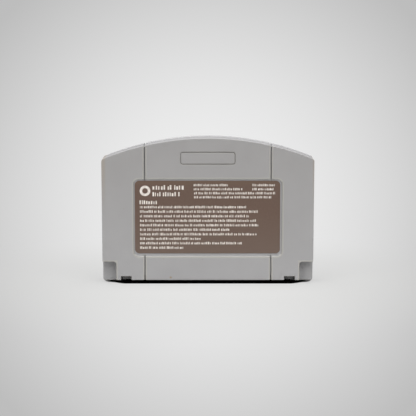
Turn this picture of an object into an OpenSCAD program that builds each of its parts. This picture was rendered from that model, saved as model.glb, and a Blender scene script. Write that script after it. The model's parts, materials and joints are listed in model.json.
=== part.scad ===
// A game cartridge that stands on its connector end, with its rear face to the
// front of the picture: two moulded halves, a label, and a shielded circuit
// board whose edge contacts hang in the open mouth at the bottom.
// Millimetres. X is the width, +Z is up and -Y is the rear face. The origin is
// on the table, under the middle of the case.

/* [Case] */
// Width across the widest part of the case
case_w = 116; // [114:0.5:120]
// Height from the table to the crown of the arched top
case_h = 80; // [78:0.5:84]
// Depth from the rear face to the front face
case_d = 18.5; // [18.1:0.1:20]
// Thickness of the moulded walls
wall = 2; // [1.8:0.1:2.2]
// Radius of the arched top
top_r = 152; // [146:1:170]
// Radius of the upper corners
top_corner_r = 1.6; // [1.2:0.1:4]
// Radius of the lower corners
foot_corner_r = 2.4; // [2.2:0.1:3]
// How much each side leans in from the upper corner to the foot
side_lean = 0.2; // [0.1:0.1:0.6]
// Rounding of the edges of both faces
edge_r = 0.2; // [0.2:0.1:0.9]

/* [Seam] */
// Width of the shadow line between the two halves
seam_gap = 0.2; // [0.2:0.05:0.5]
// How far the front half's lip reaches into the rear half
lip_reach = 1.5; // [1:0.1:1.7]
// Clearance round the lip
lip_clearance = 0.1; // [0.05:0.05:0.15]
// Radius of the posts that pin the halves together
post_r = 2.4; // [2.2:0.1:2.8]
// Radius of the press-fit pins
pin_r = 1.2; // [1:0.1:1.4]
// Length of the press-fit pins
pin_length = 4; // [3:0.5:5]

/* [Grooves] */
// Distance of each long groove from the middle
groove_x = 34.5; // [33:0.5:36]
// Width of the long grooves
groove_w = 0.7; // [0.5:0.1:1]
// Depth of the long grooves in both faces
groove_deep = 1.2; // [0.7:0.1:1.3]
// Depth of the long grooves over the top
groove_top_deep = 0.7; // [0.4:0.1:0.9]

/* [Rear face] */
// Width of the label's recess
recess_w = 81.5; // [80.5:0.1:84]
// Lower edge of the label's recess
recess_z = 14.9; // [14.5:0.1:15.5]
// Height of the label's recess
recess_h = 43; // [42:0.1:45]
// Depth of the label's recess
recess_deep = 0.7; // [0.5:0.1:1]
// How far the recess's walls slope in from its edge to its floor
recess_slope = 0.8; // [0.3:0.1:1]
// Corner radius of the label's recess
recess_r = 3.2; // [2.5:0.1:4]
// Width of the outlined field above the label
badge_w = 30.2; // [26:0.1:34]
// Height of the outlined field above the label
badge_h = 7; // [6:0.1:8]
// Middle height of the outlined field
badge_z = 69.2; // [68:0.1:70]
// Corner radius of the outlined field
badge_r = 1.6; // [1:0.1:2.5]
// Width of the outline's groove
badge_line = 0.5; // [0.4:0.1:0.7]

/* [Label] */
// Gap between the label and each side of its recess
label_side_gap = 1.05; // [1.05:0.05:2]
// Gap between the label and the recess's lower edge
label_low_gap = 1.85; // [1.2:0.05:2.5]
// Gap between the label and the recess's upper edge
label_high_gap = 1.05; // [1.05:0.05:2]
// How far off centre the label was stuck
label_shift = -0.2; // [-0.4:0.05:0.4]
// Thickness of the label
label_t = 0.2; // [0.15:0.05:0.3]
// Corner radius of the label
label_r = 2.4; // [2:0.1:3]

/* [Front face] */
// Width of the bare recess for a front label
front_recess_w = 82; // [80:0.5:84]
// Lower edge of the front recess
front_recess_z = 16; // [15:0.5:18]
// Depth of the front recess
front_recess_deep = 0.7; // [0.3:0.1:0.8]

/* [Foot] */
// Height of the rear wall's lower edge above the table
rear_lift = 2; // [1.2:0.1:2.2]
// Height of the corner panels' lower edge above the table
panel_lift = 1.1; // [0.8:0.1:1.2]
// Distance of each corner pocket from the middle
pocket_x = 50.25; // [50:0.05:51]
// Height of the corner pockets
pocket_h = 12.2; // [11.5:0.1:12.5]
// Depth of the corner pockets
pocket_deep = 5.4; // [4.5:0.1:5.6]
// Rounding of the pockets' inner upper corner
pocket_r = 1.6; // [1:0.1:2.5]
// Distance of each keying notch's inner end from the middle
notch_x = 41.95; // [41.5:0.05:42.5]
// Length of the keying notches
notch_w = 5.8; // [5:0.1:5.8]
// Height of the keying notches above the table
notch_top = 4.1; // [3.4:0.05:4.5]

/* [Mouth] */
// Half the depth of the connector mouth
mouth_half_d = 5; // [4.9:0.05:5.1]
// Thickness of the mouth's walls
mouth_wall = 1.2; // [1:0.1:1.3]
// Height of the mouth's lower edge above the table
mouth_lift = 1.9; // [1.5:0.1:2.2]
// Thickness of the deck that closes the mouth above
deck_t = 1.5; // [1.2:0.1:1.8]

/* [Circuit board] */
// Width of the board above the deck
board_w = 86; // [85:0.5:86]
// Height of the board above the deck
board_h = 46; // [45:0.5:48]
// Thickness of the board
board_t = 1.2; // [1:0.1:1.4]
// Width of the edge connector's tongue
tongue_w = 65; // [64.5:0.5:66]
// Height of the tongue's edge above the table
tongue_z = 5; // [4:0.5:6]
// Number of contacts on each side
contacts = 25; // [21:2:25]
// Distance from contact to contact
contact_pitch = 2.5; // [2.4:0.05:2.5]
// Width of one contact
contact_w = 1.6; // [1.4:0.1:1.8]
// Thickness of the plating
contact_t = 0.05; // [0.04:0.01:0.1]

/* [Shields] */
// Thickness of the shields' sheet steel
sheet_t = 0.4; // [0.3:0.05:0.5]
// Depth of the front shield over the chips
front_shield_d = 3.9; // [3.8:0.1:4.2]
// Depth of the rear shield behind the board
rear_shield_d = 1.8; // [1.6:0.1:2.2]
// Thread radius of the shield screws
screw_r = 1.25; // [1.1:0.05:1.4]

/* [Chips] */
// Size of the program chip: width, height, thickness
program_size = [28.2, 13.3, 2.6];
// Size of the lock chip: width, height, thickness
lock_size = [11.5, 7.5, 2.2];
// Size of the save chip: width, height, thickness
save_size = [5, 4.4, 1.5];
// Size of the bulk capacitor: width, height, thickness
bulk_size = [6, 3.2, 2.5];
// Size of a ceramic capacitor: width, height, thickness
cap_size = [2, 1.25, 1.1];
// Size of a chip resistor: width, height, thickness
resistor_size = [1.6, 0.8, 0.5];
// Distance from resistor to resistor
resistor_pitch = 3.5; // [2.5:0.1:4]
// Distance from lead to lead
lead_pitch = 1.27; // [1.2:0.01:1.27]
// How high the chips sit above the board
standoff = 0.1; // [0.05:0.05:0.15]

/* [Hidden] */
$fn = 48;

plastic = [0.64, 0.63, 0.62];
brown = [0.42, 0.35, 0.31];
green = [0.12, 0.38, 0.24];
gold = [0.83, 0.66, 0.32];
steel = [0.72, 0.73, 0.74];
tin = [0.78, 0.78, 0.76];
moulded = [0.09, 0.09, 0.1];

half_w = case_w / 2;
half_d = case_d / 2;
arch_z = case_h - top_r;
corner_z = arch_z + sqrt(pow(top_r - top_corner_r, 2) - pow(half_w - top_corner_r, 2));
lean_angle = atan(side_lean / corner_z);
foot_x = half_w - side_lean - foot_corner_r;

// The lip stands inside a leaf of wall, from the foot blocks upwards
leaf = wall / 2;
foot_block_h = 3;
foot_block_x = foot_x - 1.5;
foot_set = 1.25;
panel_y = -half_d + pocket_deep;

// The deck's top is level with the top of the pockets
deck_z = pocket_h + wall;
mouth_half_w = notch_x + notch_w - 0.8 - mouth_wall;
slot_clearance = 0.15;
slot_half_w = tongue_w / 2 + 0.7;

board_y = board_t / 2;
board_top = deck_z + board_h;
rib_x = board_w / 2 - 0.8;
rib_t = 1.2;
post_x = board_w / 2 + 1.8 + post_r;
post_heights = [deck_z + 0.17 * board_h, deck_z + 0.91 * board_h];

shield_half_w = rib_x - rib_t / 2 - 0.6;
shield_z = deck_z + 3;
shield_h = board_h - 5;
shield_r = 1.5;
ear_w = 4.2;
ear_h = 9;
ear_z = shield_z + shield_h / 2;
screw_x = shield_half_w - sheet_t + 2.7;
screw_head_r = 1.75;
screw_head_t = 1.3;

lead_t = 0.2;
lead_w = 0.42;
lead_reach = 1.4;
program_at = [0, ear_z - 1];
lock_at = [-27, ear_z + 3];
save_at = [27, ear_z + 3];
bulk_at = [27, ear_z - 11];
cap_z = program_at[1] - program_size[1] / 2 - 6;
cap_places = [[lock_at[0], bulk_at[1]], [program_at[0] - 3, cap_z],
    [program_at[0] + 9, ear_z + 13]];
resistor_places = [for (i = [0:3])
    [lock_at[0] + (i + 2) * resistor_pitch, cap_z - cap_size[1]]];

// Stands a flat outline up in X and Z, from y0 to y1
module slab(y0, y1) {
    translate([0, y1, 0]) rotate([90, 0, 0]) linear_extrude(height = y1 - y0) children();
}

module both_sides() {
    children();
    mirror([1, 0, 0]) children();
}

module rounded_area(w, h, r) {
    square([w - 2 * r, h], center = true);
    square([w, h - 2 * r], center = true);
    for (x = [-w / 2 + r, w / 2 - r], z = [-h / 2 + r, h / 2 - r])
        translate([x, z]) circle(r = r);
}

// Points round an arc in X and Z
function arc(x, z, r, from, to, steps) = [for (i = [0:steps])
    let (a = from + (to - from) * i / steps) [x + r * cos(a), z + r * sin(a)]];

// An arched outline: a foot, two leaning sides, two corners and the arch, each
// tangent to the next. The arch is centred at arch_z.
function arched(reach, arch_r, corner_r, foot_z, foot_r) = let (
    x = reach - corner_r,
    z = arch_z + sqrt(pow(arch_r - corner_r, 2) - pow(x, 2)),
    turn = atan2(z - arch_z, x),
    fall = (z - corner_r * sin(lean_angle) + foot_r * sin(lean_angle)
        - foot_z - foot_r) / cos(lean_angle),
    foot_at = x + (corner_r - foot_r) * cos(lean_angle) - fall * sin(lean_angle),
    right = concat(
        foot_r > 0 ? arc(foot_at, foot_z + foot_r, foot_r, -90, -lean_angle, 6)
            : [[foot_at, foot_z]],
        arc(x, z, corner_r, -lean_angle, turn, 8),
        arc(0, arch_z, arch_r, turn, 90, 24)),
    last = len(right) - 2)
    concat(right, [for (i = [last:-1:0]) [-right[i][0], right[i][1]]]);

// The case's outline, drawn in from its edge
module closed_outline(inset) {
    polygon(arched(half_w - inset, top_r - inset, top_corner_r - inset, inset,
        foot_corner_r - inset));
}

// The same outline with its sides carried on below the foot
module outline(inset) {
    polygon(arched(half_w - inset, top_r - inset, max(top_corner_r - inset, 0.5), -1, 0));
}

// The closed outer form of the case, with the edges of both faces rounded
module case_form() {
    hull() for (a = [0:30:90])
        slab(-half_d + edge_r * (1 - sin(a)), half_d - edge_r * (1 - sin(a)))
            closed_outline(edge_r * (1 - cos(a)));
}

// The label's recess, drawn in from its edge
module recess_area(inset = 0) {
    translate([0, recess_z + recess_h / 2])
        rounded_area(recess_w - 2 * inset, recess_h - 2 * inset, recess_r - inset);
}

// The front recess is arched above, and parallel to the case's own arch
module front_recess_area(inset = 0) {
    margin = 9 + inset;
    r = 3 - inset;
    polygon(arched(front_recess_w / 2 - inset, top_r - margin, r, front_recess_z + inset, r));
}

// The label's recess has sloping walls
module label_recess() {
    hull() {
        slab(-half_d - 1, -half_d) recess_area();
        slab(-half_d, -half_d + recess_deep) recess_area(recess_slope);
    }
}

// The two long grooves run up both faces and over the arch. They cut the edges
// of the label's recess, and stop there
module long_grooves() {
    difference() {
        for (x = [-groove_x, groove_x])
            translate([x - groove_w / 2, -case_d, -1])
                cube([groove_w, 2 * case_d, case_h + 2]);
        translate([0, 0, arch_z]) rotate([90, 0, 0])
            cylinder(r = top_r - groove_top_deep, h = case_d - 2 * groove_deep,
                center = true, $fn = 720);
        slab(-2 * case_d, 0) recess_area(recess_slope + 0.2);
        slab(0, 2 * case_d) front_recess_area(0.1);
    }
}

module keep_rear() {
    translate([-case_w, -case_d, -2])
        cube([2 * case_w, case_d, case_h + 4]);
}

module keep_front() {
    mirror([0, 1, 0]) keep_rear();
}

// The band of wall that holds the lip, from the foot blocks up
module lip_band(outer, inner, from_z) {
    difference() {
        intersection() {
            outline(outer);
            translate([-case_w, from_z]) square([2 * case_w, case_h]);
        }
        outline(inner);
    }
}

// Posts stand on the wall at the same four places in both halves
module at_posts() {
    both_sides() for (z = post_heights) translate([post_x, 0, z]) rotate([90, 0, 0])
        children();
}

// Walls that clamp the board by its edges, drawn toward +Y
module board_clamps() {
    both_sides() for (z = [deck_z, shield_z + shield_h - 8])
        translate([rib_x - rib_t / 2, board_y, z - 0.5])
            cube([rib_t, half_d - wall / 2 - board_y, 9.5]);
}

// Mouth wall, its end walls and the deck above it, drawn toward +Y
module mouth_frame(lift, deck_half_w) {
    outer_x = mouth_half_w + mouth_wall;
    translate([0, 0, lift]) {
        difference() {
            translate([-outer_x, 0, 0])
                cube([2 * outer_x, mouth_half_d + mouth_wall, deck_z - lift]);
            translate([-mouth_half_w, -1, -1])
                cube([2 * mouth_half_w, mouth_half_d + 1, deck_z - lift + 2]);
        }
    }
    translate([0, 0, deck_z - deck_t]) difference() {
        translate([-deck_half_w, 0, 0])
            cube([2 * deck_half_w, half_d - wall / 2, deck_t]);
        translate([-slot_half_w, -1, -1])
            cube([2 * slot_half_w, board_y + slot_clearance + 1, deck_t + 2]);
    }
}

// Walls and ceiling round one corner pocket of the rear half
module pocket_block() {
    intersection() {
        union() {
            translate([pocket_x - wall, -half_d, 0])
                cube([half_w, pocket_deep + wall, deck_z]);
            translate([pocket_x - wall, -half_d, pocket_h])
                cube([half_w, half_d, wall]);
            translate([foot_block_x, panel_y + foot_set, 0])
                cube([half_w, half_d - pocket_deep - foot_set, foot_block_h]);
        }
        case_form();
    }
}

module pocket_cut() {
    slab(-case_d, panel_y) {
        translate([pocket_x + pocket_r, -1])
            square([half_w, pocket_h + 1]);
        translate([pocket_x, -1]) square([half_w, pocket_h + 1 - pocket_r]);
        translate([pocket_x + pocket_r, pocket_h - pocket_r]) circle(r = pocket_r);
    }
}

module rear_shell() color(plastic) {
    difference() {
        union() {
            difference() {
                intersection() {
                    case_form();
                    keep_rear();
                }
                slab(-half_d + wall, 1) outline(wall);
            }
            both_sides() pocket_block();
            mirror([0, 1, 0]) mouth_frame(mouth_lift, pocket_x - wall / 2);
            mirror([0, 1, 0]) board_clamps();
            at_posts() cylinder(r = post_r, h = half_d - wall / 2);
        }
        both_sides() pocket_cut();
        long_grooves();
        label_recess();
        slab(-half_d - 1, -half_d + 0.4) translate([0, badge_z]) difference() {
            rounded_area(badge_w, badge_h, badge_r);
            rounded_area(badge_w - 2 * badge_line, badge_h - 2 * badge_line,
                badge_r - badge_line);
        }
        // The seam's shadow line and the seat of the front half's lip
        slab(-seam_gap / 2, 1) lip_band(-1, leaf, foot_block_h + lip_clearance);
        slab(-lip_reach, 1) lip_band(leaf - lip_clearance, wall + lip_clearance,
            foot_block_h + lip_clearance);
        at_posts() translate([0, 0, -1]) cylinder(r = pin_r, h = pin_length + 1.5);
        // Lower edges that stop short of the table
        both_sides() {
            translate([-1, -case_d, -1])
                cube([pocket_x + 1, case_d - half_d + wall + 0.5, rear_lift + 1]);
            translate([pocket_x - wall - 1, -half_d + 1, -1])
                cube([wall + 1, half_d, rear_lift + 1]);
            translate([pocket_x - 1, -half_d + 1, -1])
                cube([foot_block_x - pocket_x + 1, half_d, panel_lift + 1]);
            translate([pocket_x - 1, -case_d, -1])
                cube([half_w, case_d + panel_y + foot_set, panel_lift + 1]);
            translate([notch_x, -case_d, -1])
                cube([notch_w, case_d - half_d + wall + 0.5, notch_top + 1]);
        }
    }
}

module front_shell() color(plastic) {
    difference() {
        union() {
            difference() {
                intersection() {
                    case_form();
                    keep_front();
                }
                slab(-1, half_d - wall) outline(wall);
            }
            // The lower corners are closed, so that the case has feet
            both_sides() intersection() {
                translate([mouth_half_w, 0, 0]) cube([half_w, half_d, wall]);
                case_form();
            }
            mouth_frame(0, half_w - side_lean - wall / 2);
            board_clamps();
            at_posts() mirror([0, 0, 1]) cylinder(r = post_r, h = half_d - wall / 2);
            // Stops over the board's upper edge
            both_sides() translate([14, -board_y, board_top + 0.1])
                cube([8, half_d - wall / 2 + board_y, rib_t]);
        }
        long_grooves();
        slab(half_d - front_recess_deep, case_d) front_recess_area();
        slab(-1, seam_gap / 2) lip_band(-1, leaf, foot_block_h + lip_clearance);
    }
    slab(-lip_reach, 1) lip_band(leaf, wall, foot_block_h + 2 * lip_clearance);
    at_posts() cylinder(r = pin_r, h = pin_length);
}

module rear_label() color(brown) {
    w = recess_w - 2 * label_side_gap;
    h = recess_h - label_low_gap - label_high_gap;
    slab(-half_d + recess_deep - label_t, -half_d + recess_deep)
        translate([label_shift, recess_z + label_low_gap + h / 2])
            rounded_area(w, h, label_r);
}

module circuit_board() color(green) {
    bevel = 0.35;
    difference() {
        union() {
            translate([-board_w / 2, -board_y, deck_z]) cube([board_w, board_t, board_h]);
            // The tongue's edge is bevelled so that it slides in
            rotate([0, 90, 0]) linear_extrude(height = tongue_w, center = true)
                polygon([[-deck_z - 1, -board_y], [-deck_z - 1, board_y],
                    [-tongue_z - 1, board_y], [-tongue_z, board_y - bevel],
                    [-tongue_z, -board_y + bevel], [-tongue_z - 1, -board_y]]);
        }
        for (x = [-screw_x, screw_x]) translate([x, 0, ear_z]) rotate([90, 0, 0])
            cylinder(r = screw_r + 0.15, h = case_d, center = true);
    }
}

// One row of plated contacts, drawn on the side that faces +Y
module contact_row() {
    for (i = [0:contacts - 1])
        translate([(i - (contacts - 1) / 2) * contact_pitch - contact_w / 2,
            board_y, tongue_z + 1.1])
            cube([contact_w, contact_t, deck_z - deck_t - tongue_z - 1.2]);
}

module contact_fingers_front() color(gold) contact_row();

module contact_fingers_rear() color(gold) mirror([0, 1, 0]) contact_row();

// A pressed tray with an ear at each side, drawn on the side that faces +Y
module shield(depth, hole_r) {
    difference() {
        slab(board_y, board_y + depth) translate([0, ear_z])
            rounded_area(2 * shield_half_w, shield_h, shield_r);
        slab(board_y - 1, board_y + depth - sheet_t) translate([0, ear_z])
            rounded_area(2 * (shield_half_w - sheet_t), shield_h - 2 * sheet_t,
                shield_r - sheet_t);
        // The tray is open where its leads run down to the contacts
        translate([-slot_half_w, board_y - 1, shield_z - 1])
            cube([2 * slot_half_w, 1 + min(depth - sheet_t, 0.6), 2]);
        both_sides() translate([screw_x - 0.6, board_y - 1, ear_z - ear_h / 2])
            cube([ear_w, depth - sheet_t + 1, ear_h]);
        // Pressed corners leave the top plate clear of the screw heads
        both_sides() translate([screw_x, board_y, ear_z]) rotate([-90, 0, 0])
            cylinder(r = screw_head_r + 0.4, h = depth + 1);
    }
    both_sides() difference() {
        translate([shield_half_w - sheet_t, board_y, ear_z - ear_h / 2])
            cube([ear_w, sheet_t, ear_h]);
        translate([screw_x, 0, ear_z]) rotate([90, 0, 0])
            cylinder(r = hole_r, h = case_d, center = true);
    }
}

module front_shield() color(steel) shield(front_shield_d, screw_r + 0.15);

module rear_shield() color(steel) mirror([0, 1, 0]) shield(rear_shield_d, screw_r);

module shield_screws() color(steel) {
    for (x = [-screw_x, screw_x]) translate([x, board_y + sheet_t, ear_z])
        rotate([90, 0, 0]) difference() {
            union() {
                cylinder(r = screw_r, h = board_t + 2 * sheet_t + 1);
                translate([0, 0, -screw_head_t])
                    cylinder(r = screw_head_r, h = screw_head_t);
            }
            // The cross in the head
            for (a = [0, 90]) rotate([0, 0, a])
                translate([-1.1, -0.25, -screw_head_t - 1]) cube([2.2, 0.5, 1.7]);
        }
}

module on_board(place) {
    translate([place[0], board_y, place[1]]) children();
}

// A moulded chip body with the dimple that marks its first lead
module chip_body(size) {
    translate([0, standoff, 0]) difference() {
        translate([-size[0] / 2, 0, -size[1] / 2]) cube([size[0], size[2], size[1]]);
        translate([-size[0] / 2 + 1, size[2] - 0.15, -size[1] / 2 + 1])
            rotate([-90, 0, 0]) cylinder(r = 0.5, h = 1);
    }
}

// Gull-wing leads along the two long edges of a chip
module chip_leads(size, count) {
    rise = standoff + size[2] / 2;
    for (side = [0, 1]) mirror([0, 0, side])
        for (i = [0:count / 2 - 1])
            translate([(i - (count / 2 - 1) / 2) * lead_pitch - lead_w / 2, 0, size[1] / 2])
                rotate([90, 0, 90]) linear_extrude(height = lead_w)
                    polygon([[rise, 0], [rise, lead_reach / 2],
                        [lead_t, lead_reach / 2], [lead_t, lead_reach],
                        [0, lead_reach], [0, lead_reach / 2 - lead_t],
                        [rise - lead_t, lead_reach / 2 - lead_t], [rise - lead_t, 0]]);
}

module program_chip() color(moulded) on_board(program_at) chip_body(program_size);

module program_chip_leads() color(tin) on_board(program_at) chip_leads(program_size, 44);

module lock_chip() color(moulded) on_board(lock_at) chip_body(lock_size);

module lock_chip_leads() color(tin) on_board(lock_at) chip_leads(lock_size, 18);

module save_chip() color(moulded) on_board(save_at) chip_body(save_size);

module save_chip_leads() color(tin) on_board(save_at) chip_leads(save_size, 8);

// The body of a two-ended part, between its plated ends
module small_body(size, end) {
    translate([-size[0] / 2 + end, 0, -size[1] / 2])
        cube([size[0] - 2 * end, size[2], size[1]]);
}

module small_ends(size, end) {
    for (x = [-size[0] / 2, size[0] / 2 - end])
        translate([x, 0, -size[1] / 2]) cube([end, size[2], size[1]]);
}

module ceramic_capacitors() color([0.68, 0.56, 0.42])
    for (place = cap_places) on_board(place) small_body(cap_size, 0.4);

module ceramic_capacitor_ends() color(tin)
    for (place = cap_places) on_board(place) small_ends(cap_size, 0.4);

module resistors() color(moulded)
    for (place = resistor_places) on_board(place) small_body(resistor_size, 0.3);

module resistor_ends() color(tin)
    for (place = resistor_places) on_board(place) small_ends(resistor_size, 0.3);

module bulk_capacitor() color([0.85, 0.6, 0.15]) on_board(bulk_at)
    translate([0, standoff, 0]) small_body(bulk_size, 0.15);

module bulk_capacitor_leads() color(tin) on_board(bulk_at) {
    strip = [bulk_size[0], bulk_size[1] / 2, bulk_size[2] / 2 + standoff];
    small_ends(strip, 0.15);
    both_sides() translate([bulk_size[0] / 2 - 1.2, 0, -strip[1] / 2])
        cube([1.1, standoff, strip[1]]);
}

rear_shell();
front_shell();
rear_label();
circuit_board();
contact_fingers_rear();
contact_fingers_front();
rear_shield();
front_shield();
shield_screws();
program_chip();
program_chip_leads();
lock_chip();
lock_chip_leads();
save_chip();
save_chip_leads();
ceramic_capacitors();
ceramic_capacitor_ends();
resistors();
resistor_ends();
bulk_capacitor();
bulk_capacitor_leads();
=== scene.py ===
# A grey game cartridge that stands on its connector end, seen from its rear.
# The frame holds the real pieces. This script gives them their finish, softens
# the moulded edges, prints the label, and sets the stage, lamps and camera.
import json
import math
import random

import bmesh
import bpy
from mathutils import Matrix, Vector

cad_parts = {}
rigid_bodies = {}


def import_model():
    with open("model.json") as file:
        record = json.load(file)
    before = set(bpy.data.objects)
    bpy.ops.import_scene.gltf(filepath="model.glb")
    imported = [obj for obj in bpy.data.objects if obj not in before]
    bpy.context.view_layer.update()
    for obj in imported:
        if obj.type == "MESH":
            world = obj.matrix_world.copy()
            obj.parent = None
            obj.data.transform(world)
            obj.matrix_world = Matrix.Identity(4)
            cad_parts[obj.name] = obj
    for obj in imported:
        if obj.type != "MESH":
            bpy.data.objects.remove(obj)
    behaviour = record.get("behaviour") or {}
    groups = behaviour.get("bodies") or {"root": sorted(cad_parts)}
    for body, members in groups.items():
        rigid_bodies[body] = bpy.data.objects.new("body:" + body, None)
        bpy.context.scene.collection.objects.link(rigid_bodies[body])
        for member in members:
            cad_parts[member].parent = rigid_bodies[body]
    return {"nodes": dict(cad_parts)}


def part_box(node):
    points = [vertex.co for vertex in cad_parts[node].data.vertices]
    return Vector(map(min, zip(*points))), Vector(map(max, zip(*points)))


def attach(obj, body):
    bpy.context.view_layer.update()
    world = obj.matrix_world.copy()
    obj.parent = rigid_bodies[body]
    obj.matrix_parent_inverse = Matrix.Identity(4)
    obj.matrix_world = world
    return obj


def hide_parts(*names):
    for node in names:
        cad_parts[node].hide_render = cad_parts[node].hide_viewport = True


for thing in list(bpy.data.objects):
    bpy.data.objects.remove(thing)

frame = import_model()
bpy.context.view_layer.update()
mm = 0.001  # sizes below are in millimetres


def toLinear(hexText):
    channels = [int(hexText[start:start + 2], 16) / 255 for start in (0, 2, 4)]
    return (*[value / 12.92 if value <= 0.04045 else ((value + 0.055) / 1.055) ** 2.4
              for value in channels], 1.0)


# Adds a node; an input takes a number, a colour or another node's socket
def addNode(tree, kind, inputs=None, **settings):
    node = tree.nodes.new(kind)
    for name, value in settings.items():
        setattr(node, name, value)
    for key, value in (inputs or {}).items():
        if isinstance(value, bpy.types.NodeSocket):
            tree.links.new(value, node.inputs[key])
        else:
            node.inputs[key].default_value = value
    return node


# A material's own surface, and the object coordinates that its patterns use. The
# default IOR of 1.5 suits ABS, paper, ink, solder mask and epoxy, and metals keep it
def startMaterial(name, color, roughness, metallic=0.0):
    material = bpy.data.materials.new(name)
    material.use_nodes = True
    tree = material.node_tree
    tree.nodes.clear()
    place = addNode(tree, "ShaderNodeTexCoord").outputs["Object"]
    surface = addNode(tree, "ShaderNodeBsdfPrincipled", {
        "Base Color": toLinear(color), "Roughness": roughness, "Metallic": metallic})
    addNode(tree, "ShaderNodeOutputMaterial", {"Surface": surface.outputs["BSDF"]})
    return material, tree, place, surface


# A mottle of two tones, in blotches of about the given size
def mottle(tree, place, surface, size, dark, light):
    blotch = addNode(tree, "ShaderNodeTexNoise", {"Vector": place, "Scale": 0.5 / (size * mm),
                                                  "Detail": 3.0}).outputs["Fac"]
    share = addNode(tree, "ShaderNodeMapRange", {"Value": blotch, "From Min": 0.35,
                                                 "From Max": 0.65}).outputs["Result"]
    tone = addNode(tree, "ShaderNodeMix", {0: share, 6: toLinear(dark), 7: toLinear(light)},
                   data_type="RGBA").outputs[2]
    tree.links.new(tone, surface.inputs["Base Color"])
    return blotch, tone


def roughen(tree, surface, height, depth):
    bump = addNode(tree, "ShaderNodeBump", {"Height": height, "Distance": depth * mm})
    tree.links.new(bump.outputs["Normal"], surface.inputs["Normal"])


# The box's strength inside a box that is the same on both sides of the middle, and
# nought outside it, over a soft skin
def insideBox(tree, place, box):
    low = Vector((-box["halfWidth"], box["depths"][0], box["heights"][0])) * mm
    high = Vector((box["halfWidth"], box["depths"][1], box["heights"][1])) * mm
    away = addNode(tree, "ShaderNodeVectorMath", {0: place, 1: tuple((low + high) / 2)},
                   operation="SUBTRACT").outputs["Vector"]
    away = addNode(tree, "ShaderNodeVectorMath", {0: away}, operation="ABSOLUTE").outputs["Vector"]
    beyond = addNode(tree, "ShaderNodeVectorMath", {0: away, 1: tuple((high - low) / 2)},
                     operation="SUBTRACT").outputs["Vector"]
    parts = addNode(tree, "ShaderNodeSeparateXYZ", {"Vector": beyond})
    furthest = parts.outputs["X"]
    for axis in "YZ":
        furthest = addNode(tree, "ShaderNodeMath", {0: furthest, 1: parts.outputs[axis]},
                           operation="MAXIMUM").outputs[0]
    return addNode(tree, "ShaderNodeMapRange", {
        "Value": furthest, "From Min": box["skin"] * mm, "From Max": -box["skin"] * mm,
        "To Max": box["strength"]}, interpolation_type="SMOOTHSTEP").outputs["Result"]


# The moulded case: its colours, its grain, the marks of use on it, and the shade and highlight painted on
# it
casing = {
    "dark": "9f9e9f",
    "light": "a2a1a2",
    # paler colour of the softened edges: part wear, part painted highlight
    "wearAndHighlightEdge": "b3b1a9",
    "blotch": 8,
    "roughness": 0.55,
    # the real grain is about 0.1 mm wide, and is drawn coarser so that it shows
    "grain": 0.25,
    "grainDepth": 0.006,
    # as wide as the finest steps of each half allow
    "edgeSoftness": {"rear_shell": 0.12, "front_shell": 0.06},
    # edges that turn by more than the angle are softened: down to this depth under
    # each half's face, and below this height all but the ones this near the seam
    "softTurn": 38,
    "softDepth": 1.0,
    "softFoot": 4,
    "seamMargin": 1.0,
    # marks that are only on the rear face fade out between these depths
    "rearFace": (-8.9, -9.2),
    # brown specks: where, how wide, how strong, and over which shares of their radius
    # they fade out
    "specks": [(-20.4, 3.4, 0.6, 0.75), (50.1, 2.4, 0.6, 0.7), (-46.0, 41.6, 0.3, 0.25),
               (-24.4, 13.9, 0.35, 0.3), (-3.0, 13.5, 0.35, 0.25), (44.3, 33.7, 0.3, 0.25)],
    "speckFade": (1.4, 0.4),
    "dirt": "8f7a52",
    # yellowed by light: the rear face a little toward the top, and the upper side
    # edges more, with how far out each edge's band starts and is full
    "yellowed": "a0988e",
    "yellowedTop": 0.14,
    "yellowedEdges": [(-55.3, -56.5), (56.8, 57.6)],
    "yellowedHeights": (36, 66),
    "yellowedEdge": 0.65,
    # the rear face is worn pale beside its long grooves and round the label's recess
    # and the corner pockets, and the same pale strips are also a painted highlight there.
    # The recess's core is half its size without its corner radius, and deeper than the
    # case, so that only width and height count
    "wearAndHighlightTone": "a9a7a2",
    "wearAndHighlightWidth": 0.7,
    "wearAndHighlightFade": 0.12,
    "groove": {"x": 34.5, "halfWidth": 0.35},
    "recess": {"middle": (0, 0, 36.4), "core": (37.55, 30, 18.3), "radius": 3.2},
    "pocket": {"x": 50.25, "top": 12.2},
    # painted shade on the recess's side walls and in the line round the bare field, a little
    # on the recess's lower wall, and more in the notches and the grooves' ends by the foot
    "sunkShade": [
        {"tone": "5a5650", "halfWidth": 40.8, "depths": (-9.5, -8.62), "heights": (16.4, 56.4),
         "skin": 0.06, "strength": 0.3},
        {"tone": "5a5650", "halfWidth": 15.5, "depths": (-9.16, -8.0), "heights": (65.4, 73.0),
         "skin": 0.06, "strength": 0.35},
        {"tone": "5a5650", "halfWidth": 39.5, "depths": (-9.5, -8.62), "heights": (14.8, 15.8),
         "skin": 0.06, "strength": 0.11},
        {"tone": "1c1a18", "halfWidth": 47.0, "depths": (-8.9, 8.2), "heights": (-1.0, 4.6),
         "skin": 0.2, "strength": 0.5},
    ],
}


# The share as it is on the rear face, and nought behind it
def onRearFace(tree, depth, share):
    start, full = casing["rearFace"]
    return addNode(tree, "ShaderNodeMapRange", {
        "Value": depth, "From Min": start * mm, "From Max": full * mm,
        "To Max": share}, interpolation_type="SMOOTHSTEP").outputs["Result"]


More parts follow.
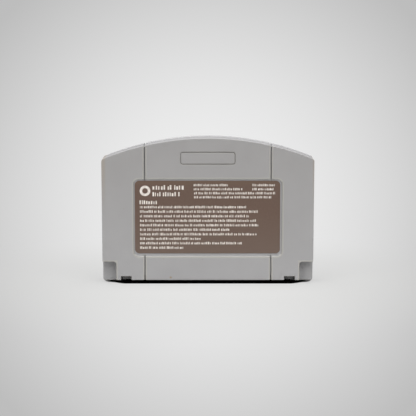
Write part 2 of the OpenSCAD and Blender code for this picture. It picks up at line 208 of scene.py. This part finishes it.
# How far a point lies outside the rounded outline of the label's recess
def offRecess(tree, place):
    recess = casing["recess"]
    sides = place
    for operation, size in (("SUBTRACT", recess["middle"]), ("ABSOLUTE", (0, 0, 0)),
                            ("SUBTRACT", recess["core"]), ("MAXIMUM", (0, 0, 0))):
        sides = addNode(tree, "ShaderNodeVectorMath", {0: sides, 1: tuple(Vector(size) * mm)},
                        operation=operation).outputs["Vector"]
    reach = addNode(tree, "ShaderNodeVectorMath", {0: sides}, operation="LENGTH").outputs["Value"]
    return addNode(tree, "ShaderNodeMath", {0: reach, 1: recess["radius"] * mm},
                   operation="SUBTRACT").outputs[0]


# How far a point lies outside the long grooves
def offGrooves(tree, across):
    groove = casing["groove"]
    aside = across
    for operation, size in (("SUBTRACT", groove["x"]), ("ABSOLUTE", 0),
                            ("SUBTRACT", groove["halfWidth"])):
        aside = addNode(tree, "ShaderNodeMath", {0: aside, 1: size * mm},
                        operation=operation).outputs[0]
    return aside


# How far a point lies inward of the corner pockets or above them
def offPockets(tree, across, height):
    pocket = casing["pocket"]
    inward = addNode(tree, "ShaderNodeMath", {0: pocket["x"] * mm, 1: across},
                     operation="SUBTRACT").outputs[0]
    upward = addNode(tree, "ShaderNodeMath", {0: height, 1: pocket["top"] * mm},
                     operation="SUBTRACT").outputs[0]
    return addNode(tree, "ShaderNodeMath", {0: inward, 1: upward}, operation="MAXIMUM").outputs[0]


# One on the rear face within the width of the pale strips, wear and painted highlight, beside any of these,
# and nought elsewhere
def wearAndHighlightShare(tree, place):
    parts = addNode(tree, "ShaderNodeSeparateXYZ", {"Vector": place})
    across = addNode(tree, "ShaderNodeMath", {0: parts.outputs["X"]}, operation="ABSOLUTE").outputs[0]
    nearest = offRecess(tree, place)
    for distance in (offGrooves(tree, across), offPockets(tree, across, parts.outputs["Z"])):
        nearest = addNode(tree, "ShaderNodeMath", {0: nearest, 1: distance},
                          operation="MINIMUM").outputs[0]
    width, fade = casing["wearAndHighlightWidth"], casing["wearAndHighlightFade"]
    share = addNode(tree, "ShaderNodeMapRange", {
        "Value": nearest, "From Min": (width + fade) * mm, "From Max": (width - fade) * mm},
        interpolation_type="SMOOTHSTEP").outputs["Result"]
    return onRearFace(tree, parts.outputs["Y"], share)


# Brown specks on the rear face, each fading out round its middle
def speckShares(tree, place):
    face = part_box("rear_shell")[0].y
    outer, inner = casing["speckFade"]
    shares = []
    for x, z, radius, strength in casing["specks"]:
        away = addNode(tree, "ShaderNodeVectorMath", {0: place, 1: (x * mm, face, z * mm)},
                       operation="DISTANCE").outputs["Value"]
        shares.append(addNode(tree, "ShaderNodeMapRange", {
            "Value": away, "From Min": radius * outer * mm, "From Max": radius * inner * mm,
            "To Max": strength}, interpolation_type="SMOOTHSTEP").outputs["Result"])
    return shares


# How far light has yellowed the upper side edges, and the rear face toward its top
def yellowShares(tree, place):
    parts = addNode(tree, "ShaderNodeSeparateXYZ", {"Vector": place})
    low, high = casing["yellowedHeights"]
    upper = addNode(tree, "ShaderNodeMapRange", {
        "Value": parts.outputs["Z"], "From Min": low * mm, "From Max": high * mm,
        "To Max": casing["yellowedEdge"]}, interpolation_type="SMOOTHSTEP").outputs["Result"]
    shares = [addNode(tree, "ShaderNodeMapRange", {
        "Value": parts.outputs["X"], "From Min": start * mm, "From Max": full * mm,
        "To Max": upper}, interpolation_type="SMOOTHSTEP").outputs["Result"]
              for start, full in casing["yellowedEdges"]]
    rising = addNode(tree, "ShaderNodeMapRange", {
        "Value": parts.outputs["Z"], "From Max": high * mm,
        "To Max": casing["yellowedTop"]}).outputs["Result"]
    return shares + [onRearFace(tree, parts.outputs["Y"], rising)]


# ABS, injection moulded: a matt grey with a fine spark-eroded grain, under the marks
# of years of use and under painted shade and highlight
def absPlastic(name, dark, light):
    material, tree, place, surface = startMaterial(name, dark, casing["roughness"])
    tone = mottle(tree, place, surface, casing["blotch"], dark, light)[1]
    layers = [(share, casing["dirt"]) for share in speckShares(tree, place)]
    layers += [(share, casing["yellowed"]) for share in yellowShares(tree, place)]
    # pale strips beside the grooves, the recess and the pockets: wear and a painted highlight
    layers += [(wearAndHighlightShare(tree, place), casing["wearAndHighlightTone"])]
    # painted shade in the recess, in the line round the bare field, in the notches and by the foot
    layers += [(insideBox(tree, place, box), box["tone"]) for box in casing["sunkShade"]]
    for share, layer in layers:
        tone = addNode(tree, "ShaderNodeMix", {0: share, 6: tone, 7: toLinear(layer)},
                       data_type="RGBA").outputs[2]
    tree.links.new(tone, surface.inputs["Base Color"])
    grain = addNode(tree, "ShaderNodeTexNoise", {
        "Vector": place, "Scale": 0.5 / (casing["grain"] * mm), "Detail": 2.0}).outputs["Fac"]
    roughen(tree, surface, grain, casing["grainDepth"])
    return material


# The label: brown, faded a little toward its lower edge, and painted paler along its upper
# one as painted light against the shade of the recess's lip, under off-white print. Fibres
# and screen are finer on a real label, and are drawn this coarse, in millimetres, so that they show
label = {
    "dark": "634f44",
    "light": "665247",
    "fibres": 0.5,
    "fibreDepth": 0.006,
    "roughness": 0.45,
    # each mark's colour, the heights where it starts and is full, and how it sets in
    # the second mark is painted light: the label's upper edge is made paler where the recess's lip shades
    # it
    "marks": [("69584e", 40, 17, "LINEAR"), ("6a5649", 53.0, 56.3, "SMOOTHSTEP")],
    "thinInk": "d8cec5",
    "fullInk": "efe9e2",
    "inkScreen": 0.6,
    "inkRoughness": 0.5,
}


# Coated paper printed brown all over: an even, slightly shiny skin over fibres
def brownPaper():
    material, tree, place, surface = startMaterial("brown_label_paper", label["dark"], label["roughness"])
    fibres, tone = mottle(tree, place, surface, label["fibres"], label["dark"], label["light"])
    parts = addNode(tree, "ShaderNodeSeparateXYZ", {"Vector": place})
    for layer, start, full, setsIn in label["marks"]:
        share = addNode(tree, "ShaderNodeMapRange", {
            "Value": parts.outputs["Z"], "From Min": start * mm, "From Max": full * mm},
            interpolation_type=setsIn).outputs["Result"]
        tone = addNode(tree, "ShaderNodeMix", {0: share, 6: tone, 7: toLinear(layer)},
                       data_type="RGBA").outputs[2]
    tree.links.new(tone, surface.inputs["Base Color"])
    roughen(tree, surface, fibres, label["fibreDepth"])
    return material


# Off-white ink, screened thin so that a little brown shows through
def paleInk():
    material, tree, place, surface = startMaterial("off_white_ink", label["thinInk"], label["inkRoughness"])
    mottle(tree, place, surface, label["inkScreen"], label["thinInk"], label["fullInk"])
    return material


# The board's finish; a real weave is closer, and is drawn this coarse to show
board = {"dark": "1b5434", "light": "256943", "roughness": 0.35,
         "weave": 1.257, "waver": 1.5, "depth": 0.01}


# Green solder mask over woven glass laminate: the weave shows as fine bands
def solderMask():
    material, tree, place, surface = startMaterial("green_solder_mask", board["dark"], board["roughness"])
    bands = math.tau / 20 / (board["weave"] * mm)  # a wave texture has 20 radians a unit
    weave = addNode(tree, "ShaderNodeTexWave", {
        "Vector": place, "Scale": bands, "Distortion": board["waver"]}).outputs["Fac"]
    tone = addNode(tree, "ShaderNodeMix", {
        0: weave, 6: toLinear(board["dark"]), 7: toLinear(board["light"])},
        data_type="RGBA").outputs[2]
    tree.links.new(tone, surface.inputs["Base Color"])
    roughen(tree, surface, weave, board["depth"])
    return material


# Metals: plating or rolled sheet, whose fine marks show as uneven gloss
def metalSkin(name, color, roughness, markSize, depth, glossier=0.08, duller=0.1):
    material, tree, place, surface = startMaterial(name, color, roughness, metallic=1.0)
    marks = addNode(tree, "ShaderNodeTexNoise", {
        "Vector": place, "Scale": 0.5 / (markSize * mm), "Detail": 4.0}).outputs["Fac"]
    gloss = addNode(tree, "ShaderNodeMapRange", {
        "Value": marks, "From Min": 0.3, "From Max": 0.7, "To Min": roughness - glossier,
        "To Max": roughness + duller}).outputs["Result"]
    tree.links.new(gloss, surface.inputs["Roughness"])
    roughen(tree, surface, marks, depth)
    return material


# Moulded and fired bodies of the small parts: a dull skin with a fine speckle
def smallBody(name, dark, light, roughness, speckle=0.25, depth=0.006):
    material, tree, place, surface = startMaterial(name, dark, roughness)
    roughen(tree, surface, mottle(tree, place, surface, speckle, dark, light)[0], depth)
    return material


caseMaterial = absPlastic("grey_abs", casing["dark"], casing["light"])
# a paler copy of the plastic for the softened edges: wear and a painted highlight
wearAndHighlightEdge = absPlastic("grey_abs_wear_and_highlight", casing["wearAndHighlightEdge"], casing["wearAndHighlightEdge"])
paper = brownPaper()
ink = paleInk()
gold = metalSkin("gold_plating", "e0b45a", 0.28, 0.6, 0.002)
tin = metalSkin("tinned_copper", "cfcfca", 0.3, 0.3, 0.003)
epoxy = smallBody("black_epoxy", "151517", "202023", 0.6)
finishes = {
    "rear_label": paper,
    "circuit_board": solderMask(),
    "contact_fingers_rear": gold,
    "contact_fingers_front": gold,
    "rear_shield": metalSkin("tinned_sheet_steel", "c4c6c8", 0.38, 2.0, 0.004),
    "shield_screws": metalSkin("zinc_plated_steel", "b9bab8", 0.35, 0.5, 0.003),
    "ceramic_capacitors": smallBody("fired_ceramic", "a98a66", "b59672", 0.45),
    "bulk_capacitor": smallBody("yellow_epoxy", "c98a1e", "d2942a", 0.5),
}
finishes["front_shield"] = finishes["rear_shield"]
for nodeName in ("program_chip", "lock_chip", "save_chip", "resistors"):
    finishes[nodeName] = epoxy
for nodeName in ("program_chip_leads", "lock_chip_leads", "save_chip_leads",
                 "ceramic_capacitor_ends", "resistor_ends", "bulk_capacitor_leads"):
    finishes[nodeName] = tin


def dress(thing, *finish):
    if not thing.material_slots:
        for material in finish:
            thing.data.materials.append(material)
    for slot in thing.material_slots[:1]:
        slot.material = finish[0]


for nodeName, material in finishes.items():
    dress(frame["nodes"][nodeName], material)
print("finishes on", len(finishes), "pieces of the frame")


# One half of the case, with its outer moulded edges softened and given a paler face,
# as wear and as a painted highlight, and its edges at the seam left sharp
def softenedHalf(nodeName):
    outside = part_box(nodeName)
    face = outside[0].y if nodeName == "rear_shell" else outside[1].y
    mesh = bpy.data.meshes.new(nodeName + "_moulding")
    work = bmesh.new()
    work.from_mesh(frame["nodes"][nodeName].data)
    bmesh.ops.remove_doubles(work, verts=work.verts, dist=1e-6)
    bmesh.ops.dissolve_limit(work, angle_limit=math.radians(0.4), verts=work.verts,
                             edges=work.edges)
    weight = work.edges.layers.float.new("bevel_weight_edge")
    for edge in work.edges:
        middle = (edge.verts[0].co + edge.verts[1].co) / 2
        atFace = abs(middle.y - face) < casing["softDepth"] * mm
        atFoot = middle.z < casing["softFoot"] * mm and abs(middle.y) > casing["seamMargin"] * mm
        turn = edge.calc_face_angle_signed(0)
        if (atFace or atFoot) and turn > math.radians(casing["softTurn"]):
            edge[weight] = 1.0
    work.to_mesh(mesh)
    work.free()
    half = bpy.data.objects.new(nodeName + "_moulding", mesh)
    bpy.context.scene.collection.objects.link(half)
    dress(half, caseMaterial, wearAndHighlightEdge)
    bevel = half.modifiers.new("moulded edges", "BEVEL")
    bevel.limit_method = "WEIGHT"
    bevel.width = casing["edgeSoftness"][nodeName] * mm
    bevel.use_clamp_overlap = False  # it would narrow every edge to suit the shortest
    bevel.segments = 2
    # the softened edge faces take the paler copy, a painted highlight with wear
    bevel.material = 1
    mesh.shade_smooth()
    mesh.set_sharp_from_angle(angle=math.radians(40))
    half.modifiers.new("even shading", "WEIGHTED_NORMAL").keep_sharp = True
    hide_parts(nodeName)
    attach(half, "root")
    return half


halves = [softenedHalf("rear_shell"), softenedHalf("front_shell")]
print("case halves", [len(half.data.polygons) for half in halves])


# The label's print: rows of unreadable bars, set out like a notice
labelPrint = {
    "seed": 7,
    "inkThickness": 0.012,
    # each row: middle height, bar height, then where its stretches start and end
    "noteRows": [
        (54.5, 1.3, (-7.7, 11.4), (24.3, 36.9)),
        (52.28, 1.3, (-7.7, 18.8), (24.3, 36.9)),
        (50.06, 1.3, (-7.5, 36.9)),
        (47.84, 1.3, (-7.5, 34.7)),
    ],
    "headings": [
        (53.2, 2.5, (-30.2, -12.7)),
        (49.5, 2.3, (-30.2, -15.2)),
        (45.0, 2.1, (-37.3, -26.4)),
    ],
    "fineTop": 42.4,
    "finePitch": 2.495,
    "fineHeight": 1.35,
    "fineLeft": -37.1,
    "fineEnds": [21.0, 27.6, 22.9, 27.0, 27.6, 12.0, 27.0, -3.6, 18.6, -13.0],
    "ring": {"x": -34.3, "z": 51.3, "radius": 2.9, "hole": 1.5, "steps": 48},
    # how many bars stand together, then in shares of their row's height how wide they
    # are, the gaps between them, the space after them, and how far up they may reach
    "together": (2, 9),
    "widths": (0.2, 0.46),
    "gaps": (0.16, 0.34),
    "space": 0.35,
    "reaches": (0.5, 0.38, 0.24),
}


# Breaks a stretch of a row into bars, a few close together and then a space
def barSpans(dice, left, right, height):
    spans = []
    x = left
    while x < right:
        for count in range(dice.randint(*labelPrint["together"])):
            width = height * dice.uniform(*labelPrint["widths"])
            if x + width > right:
                return spans
            spans.append((x, x + width))
            x += width + height * dice.uniform(*labelPrint["gaps"])
        x += height * labelPrint["space"]
    return spans


def addBar(work, face, left, right, low, high):
    thickness = labelPrint["inkThickness"] * mm
    corners = [(left * mm, low * mm), (right * mm, low * mm),
               (right * mm, high * mm), (left * mm, high * mm)]
    back = [work.verts.new((x, face, z)) for x, z in corners]
    front = [work.verts.new((x, face - thickness, z)) for x, z in corners]
    work.faces.new(front)
    work.faces.new(back)
    for index in range(4):
        work.faces.new([back[index - 1], back[index], front[index], front[index - 1]])


# A plain ring in the upper corner
def addRing(work, face):
    ring = labelPrint["ring"]
    thickness = labelPrint["inkThickness"] * mm
    turns = [index * math.tau / ring["steps"] for index in range(ring["steps"])]
    rims = [(ring["hole"], 0), (ring["hole"], thickness),
            (ring["radius"], thickness), (ring["radius"], 0)]
    loops = [[work.verts.new(((ring["x"] + radius * math.cos(turn)) * mm, face - proud,
                              (ring["z"] + radius * math.sin(turn)) * mm)) for turn in turns]
             for radius, proud in rims]
    for first, second in zip(loops, loops[1:] + loops[:1]):
        for index in range(ring["steps"]):
            work.faces.new([first[index - 1], first[index], second[index], second[index - 1]])


def printLabel():
    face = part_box("rear_label")[0].y
    dice = random.Random(labelPrint["seed"])
    rows = labelPrint["noteRows"] + labelPrint["headings"]
    rows += [(labelPrint["fineTop"] - index * labelPrint["finePitch"], labelPrint["fineHeight"],
              (labelPrint["fineLeft"], end)) for index, end in enumerate(labelPrint["fineEnds"])]
    work = bmesh.new()
    for middle, height, *stretches in rows:
        for left, right in stretches:
            for start, end in barSpans(dice, left, right, height):
                high = middle + height * dice.choice(labelPrint["reaches"])
                addBar(work, face, start, end, middle - height / 2, high)
    addRing(work, face)
    bmesh.ops.recalc_face_normals(work, faces=work.faces)
    mesh = bpy.data.meshes.new("label_print")
    work.to_mesh(mesh)
    work.free()
    piece = bpy.data.objects.new("label_print", mesh)
    bpy.context.scene.collection.objects.link(piece)
    dress(piece, ink)
    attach(piece, "root")
    print("label print", len(mesh.polygons), "faces")


printLabel()

# The camera: above the case and far off, looking slightly down at its rear face
view = {
    "aimX": 0.08,
    "aimZ": 40.67,
    "elevation": 7.8,
    "distance": 841.9,
    "lens": 131.9,
    "sensor": 36,
}


def placeCamera():
    rise = math.radians(view["elevation"])
    away = Vector((0, -math.cos(rise), math.sin(rise))) * view["distance"]
    data = bpy.data.cameras.new("camera")
    data.lens = view["lens"]
    data.sensor_width = view["sensor"]
    data.clip_end = 50
    camera = bpy.data.objects.new("camera", data)
    camera.location = (Vector((view["aimX"], 0, view["aimZ"])) + away) * mm
    camera.rotation_euler = (math.pi / 2 - rise, 0, 0)
    bpy.context.scene.collection.objects.link(camera)
    bpy.context.scene.camera = camera


# Pale paper, raised round its rim to hide the horizon. A pool of light is painted on
# both, and no lamp makes it. It is fixed on the paper, but the point and the slope of
# the beam that it is reckoned from are the main view's. Then come the light in the
# beam's middle and two steps of fall by the square of the slant to the beam
floorPaper = {
    "radius": 12000,
    "rim": 1500,
    "paper": "bfbfbd",
    "farPaper": "5a5a5a",
    "seenPaper": "adadab",
    "shadowUnderCase": "080808",
    "roughness": 0.95,
    "paperReach": (130, 260),
    "beamFrom": (0.08, -834.1, 154.9),
    "beamDown": 7.8,
    "fall": (0.8654, -13.96, 101.5),
    "widest": 0.055,
    "dimmest": 0.51,
    "shadowReach": (60, 170),
    "shadowShare": 0.35,
    # a painted shadow, black under the case: half its width and depth, less deep at the corner
    # pockets, and how far its ends and its sides fade, outward and inward
    "footprint": {"width": 55.5, "depth": 9.3, "cornerDepth": 4.2, "corner": (45, 54),
                  "endFade": (1.5, -1.5), "sideFade": (0.9, -0.6)},
}


# The painted shadow's share: one under the case and nought beside it, with a soft edge
def footprintShade(tree, place):
    footprint = floorPaper["footprint"]
    parts = addNode(tree, "ShaderNodeSeparateXYZ", {"Vector": place})
    across, along = [addNode(tree, "ShaderNodeMath", {0: parts.outputs[axis]},
                             operation="ABSOLUTE").outputs[0] for axis in "XY"]
    start, full = footprint["corner"]
    depth = addNode(tree, "ShaderNodeMapRange", {
        "Value": across, "From Min": start * mm, "From Max": full * mm,
        "To Min": footprint["depth"] * mm, "To Max": footprint["cornerDepth"] * mm},
        interpolation_type="SMOOTHSTEP").outputs["Result"]
    inside = []
    for reach, edge, fade in ((across, footprint["width"] * mm, footprint["endFade"]),
                              (along, depth, footprint["sideFade"])):
        beyond = addNode(tree, "ShaderNodeMath", {0: reach, 1: edge}, operation="SUBTRACT").outputs[0]
        inside.append(addNode(tree, "ShaderNodeMapRange", {
            "Value": beyond, "From Min": fade[0] * mm, "From Max": fade[1] * mm},
            interpolation_type="SMOOTHSTEP").outputs["Result"])
    return addNode(tree, "ShaderNodeMath", dict(enumerate(inside)), operation="MULTIPLY").outputs[0]


# The painted pool of light, by the slant of each point to its beam
def lightPool(tree, place):
    down = math.radians(floorPaper["beamDown"])
    source = tuple(Vector(floorPaper["beamFrom"]) * mm)
    apart = addNode(tree, "ShaderNodeVectorMath", {0: place, 1: source},
                    operation="SUBTRACT").outputs["Vector"]
    along = addNode(tree, "ShaderNodeVectorMath", {
        0: apart, 1: (0, math.cos(down), -math.sin(down))}, operation="DOT_PRODUCT").outputs["Value"]
    reach = addNode(tree, "ShaderNodeVectorMath", {0: apart, 1: apart},
                    operation="DOT_PRODUCT").outputs["Value"]
    depth = addNode(tree, "ShaderNodeMath", {0: along, 1: along}, operation="MULTIPLY").outputs[0]
    ratio = addNode(tree, "ShaderNodeMath", {0: reach, 1: depth}, operation="DIVIDE").outputs[0]
    slant = addNode(tree, "ShaderNodeMath", {0: ratio, 1: 1.0}, operation="SUBTRACT").outputs[0]
    slant = addNode(tree, "ShaderNodeMath", {0: slant, 1: floorPaper["widest"]},
                    operation="MINIMUM").outputs[0]
    full, first, second = floorPaper["fall"]
    slope = addNode(tree, "ShaderNodeMath", {0: slant, 1: second, 2: first},
                    operation="MULTIPLY_ADD").outputs[0]
    bright = addNode(tree, "ShaderNodeMath", {0: slope, 1: slant, 2: full},
                     operation="MULTIPLY_ADD").outputs[0]
    bright = addNode(tree, "ShaderNodeMath", {0: bright, 1: floorPaper["dimmest"]},
                     operation="MAXIMUM").outputs[0]
    return addNode(tree, "ShaderNodeEmission", {"Strength": bright}).outputs["Emission"]


# The paper's tone: one plain tone where it is seen, and for the light that it gives
# back lighter close to the case. Under the case a shadow is painted on it in black
def paperTone(tree, away, seen, under):
    near, far = floorPaper["paperReach"]
    share = addNode(tree, "ShaderNodeMapRange", {
        "Value": away, "From Min": near * mm, "From Max": far * mm},
        interpolation_type="SMOOTHSTEP").outputs["Result"]
    tone = toLinear(floorPaper["paper"])
    for factor, layer in ((share, "farPaper"), (seen, "seenPaper"), (under, "shadowUnderCase")):
        tone = addNode(tree, "ShaderNodeMix", {0: factor, 6: tone, 7: toLinear(floorPaper[layer])},
                       data_type="RGBA").outputs[2]
    return tone


# How much of the pool shows: less near the case, so that its shadow shows, none under
# it, and none in the light that the paper gives back
def poolShare(tree, away, seen, under):
    near, far = floorPaper["shadowReach"]
    share = addNode(tree, "ShaderNodeMapRange", {
        "Value": away, "From Min": near * mm, "From Max": far * mm,
        "To Min": 1 - floorPaper["shadowShare"]}, interpolation_type="SMOOTHSTEP").outputs["Result"]
    lit = addNode(tree, "ShaderNodeMath", {0: 1.0, 1: under}, operation="SUBTRACT").outputs[0]
    for factor in (seen, lit):
        share = addNode(tree, "ShaderNodeMath", {0: share, 1: factor},
                        operation="MULTIPLY").outputs[0]
    return share


# Matt uncoated paper, without shine, under its painted pool of light
def floorMaterial():
    material, tree, place, surface = startMaterial("pale_paper", floorPaper["paper"],
                                                   floorPaper["roughness"])
    surface.inputs["Specular IOR Level"].default_value = 0.0
    away = addNode(tree, "ShaderNodeVectorMath", {0: place}, operation="LENGTH").outputs["Value"]
    under = footprintShade(tree, place)
    rays = addNode(tree, "ShaderNodeLightPath")
    seen = rays.outputs["Is Camera Ray"]  # by the eye, or in a mirror or glass
    for kind in ("Is Glossy Ray", "Is Transmission Ray"):
        seen = addNode(tree, "ShaderNodeMath", {0: seen, 1: rays.outputs[kind]},
                       operation="MAXIMUM").outputs[0]
    tree.links.new(paperTone(tree, away, seen, under), surface.inputs["Base Color"])
    both = addNode(tree, "ShaderNodeMixShader", {
        0: poolShare(tree, away, seen, under), 1: surface.outputs["BSDF"],
        2: lightPool(tree, place)})
    output = next(node for node in tree.nodes if node.type == "OUTPUT_MATERIAL")
    tree.links.new(both.outputs["Shader"], output.inputs["Surface"])
    return material


def layFloor():
    work = bmesh.new()
    bmesh.ops.create_circle(work, cap_ends=True, segments=96, radius=floorPaper["radius"] * mm)
    raised = bmesh.ops.extrude_edge_only(work, edges=work.edges[:])["geom"]
    bmesh.ops.translate(work, verts=[part for part in raised if isinstance(part, bmesh.types.BMVert)],
                        vec=(0, 0, floorPaper["rim"] * mm))
    mesh = bpy.data.meshes.new("floor")
    work.to_mesh(mesh)
    work.free()
    floor = bpy.data.objects.new("floor", mesh)
    bpy.context.scene.collection.objects.link(floor)
    dress(floor, floorMaterial())


# Even surroundings, a softbox overhead and one at each side in front, all aimed at
# the middle of the case
lighting = {
    "surroundings": 0.18,
    "seenSurroundings": 0.5,
    "aim": (0, 0, 40),
    # where each stands, how wide it is and its power
    "softboxes": {
        "overhead": {"at": (0, -100, 2400), "size": 1800, "power": 66},
        "left": {"at": (-870, -1240, 1310), "size": 1200, "power": 16.3},
        "right": {"at": (870, -1240, 1310), "size": 1200, "power": 16.3},
    },
}


def lightStage():
    world = bpy.data.worlds.new("surroundings")
    world.use_nodes = True
    tree = world.node_tree
    tree.nodes.clear()
    rays = addNode(tree, "ShaderNodeLightPath")
    strength = addNode(tree, "ShaderNodeMix", {
        0: rays.outputs["Is Camera Ray"], 2: lighting["surroundings"],
        3: lighting["seenSurroundings"]}, data_type="FLOAT").outputs[0]
    sky = addNode(tree, "ShaderNodeBackground", {"Color": (1, 1, 1, 1), "Strength": strength})
    addNode(tree, "ShaderNodeOutputWorld", {"Surface": sky.outputs["Background"]})
    bpy.context.scene.world = world
    for name, softbox in lighting["softboxes"].items():
        data = bpy.data.lights.new(name + "_softbox", "AREA")
        data.shape = "SQUARE"
        data.size = softbox["size"] * mm
        data.energy = softbox["power"]
        lamp = bpy.data.objects.new(name + "_softbox", data)
        lamp.location = Vector(softbox["at"]) * mm
        toCase = Vector(lighting["aim"]) * mm - lamp.location
        lamp.rotation_euler = toCase.to_track_quat("-Z", "Y").to_euler()
        lamp.visible_camera = False
        bpy.context.scene.collection.objects.link(lamp)


layFloor()
lightStage()
placeCamera()
bpy.context.scene.view_settings.view_transform = "Standard"
print("floor, lamps and camera")

bpy.context.view_layer.update()
